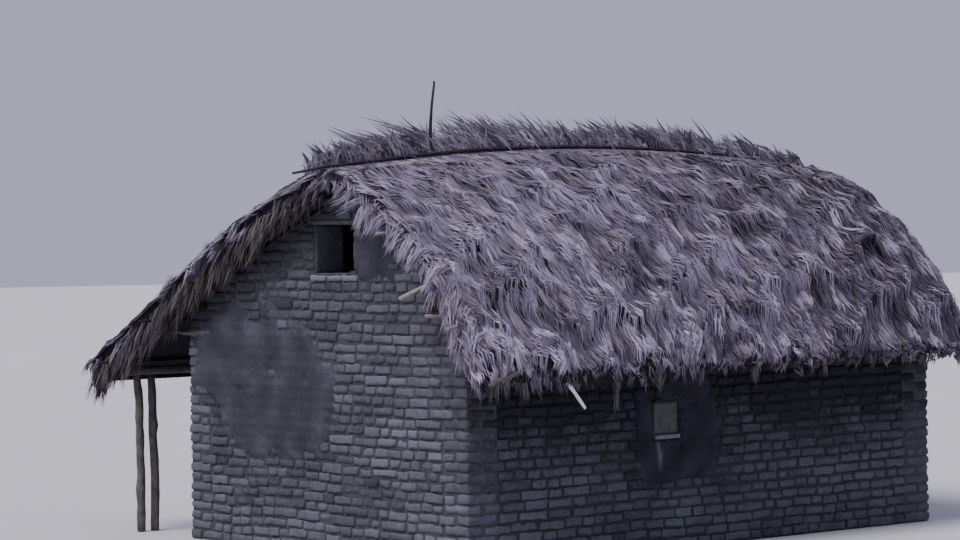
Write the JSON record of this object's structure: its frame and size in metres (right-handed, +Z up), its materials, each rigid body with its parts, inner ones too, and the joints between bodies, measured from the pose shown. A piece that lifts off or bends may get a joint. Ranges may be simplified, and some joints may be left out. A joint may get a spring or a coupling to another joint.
{
  "type": "thatched mud-brick hut",
  "caption": "Mud-brick farm hut with a small gable window, a doorway, and a ragged straw roof that runs out over an open side porch on posts.",
  "frame": {"origin": "on the ground below the middle of the whole hut's box", "axes": "+Z up, +Y along the ridge from the window gable to the rear gable, +X from the porch towards the long closed wall"},
  "size_m": [7.14, 8.14, 5.1628],
  "materials": {
    "gable_brick": "rough sun-dried mud brick in mud mortar",
    "side_brick": "rough sun-dried mud brick in mud mortar",
    "timber": "weathered bark-covered pole",
    "pale_timber": "peeled weathered pole",
    "dark_timber": "dark weathered pole",
    "pale_board": "bleached plank",
    "straw": "grey weathered straw",
    "dark_straw": "old dark straw"
  },
  "bodies": {
    "root": {"front_gable_wall": "gable_brick", "rear_gable_wall": "gable_brick", "near_side_wall": "side_brick", "porch_side_wall_front": "side_brick", "porch_side_wall_rear": "side_brick", "porch_side_wall_over_door": "side_brick", "door_lintel": "timber", "gable_window_lintel": "timber", "side_window_board": "pale_board", "side_window_sill": "pale_board", "near_wall_plate": "timber", "porch_wall_plate": "timber", "ridge_beam": "timber", "near_rafter_1": "timber", "near_rafter_2": "timber", "near_rafter_3": "timber", "near_rafter_4": "timber", "near_rafter_5": "timber", "near_rafter_6": "timber", "porch_rafter_1": "timber", "porch_rafter_2": "timber", "porch_rafter_3": "timber", "porch_rafter_4": "timber", "porch_rafter_5": "timber", "porch_rafter_6": "timber", "near_batten_1": "pale_timber", "near_batten_2": "pale_timber", "near_batten_3": "pale_timber", "near_batten_4": "pale_timber", "near_batten_5": "pale_timber", "porch_batten_1": "pale_timber", "porch_batten_2": "pale_timber", "porch_batten_3": "pale_timber", "porch_batten_4": "pale_timber", "porch_batten_5": "pale_timber", "porch_eave_beam": "pale_timber", "porch_post_1": "pale_timber", "porch_post_2": "pale_timber", "porch_post_3": "pale_timber", "porch_post_4": "pale_timber", "porch_post_5": "pale_timber", "porch_tie_front": "pale_timber", "near_thatch": "straw", "porch_thatch": "straw", "ridge_thatch": "dark_straw", "ridge_weight_pole": "dark_timber", "ridge_stick": "dark_timber"}
  },
  "joints": []
}
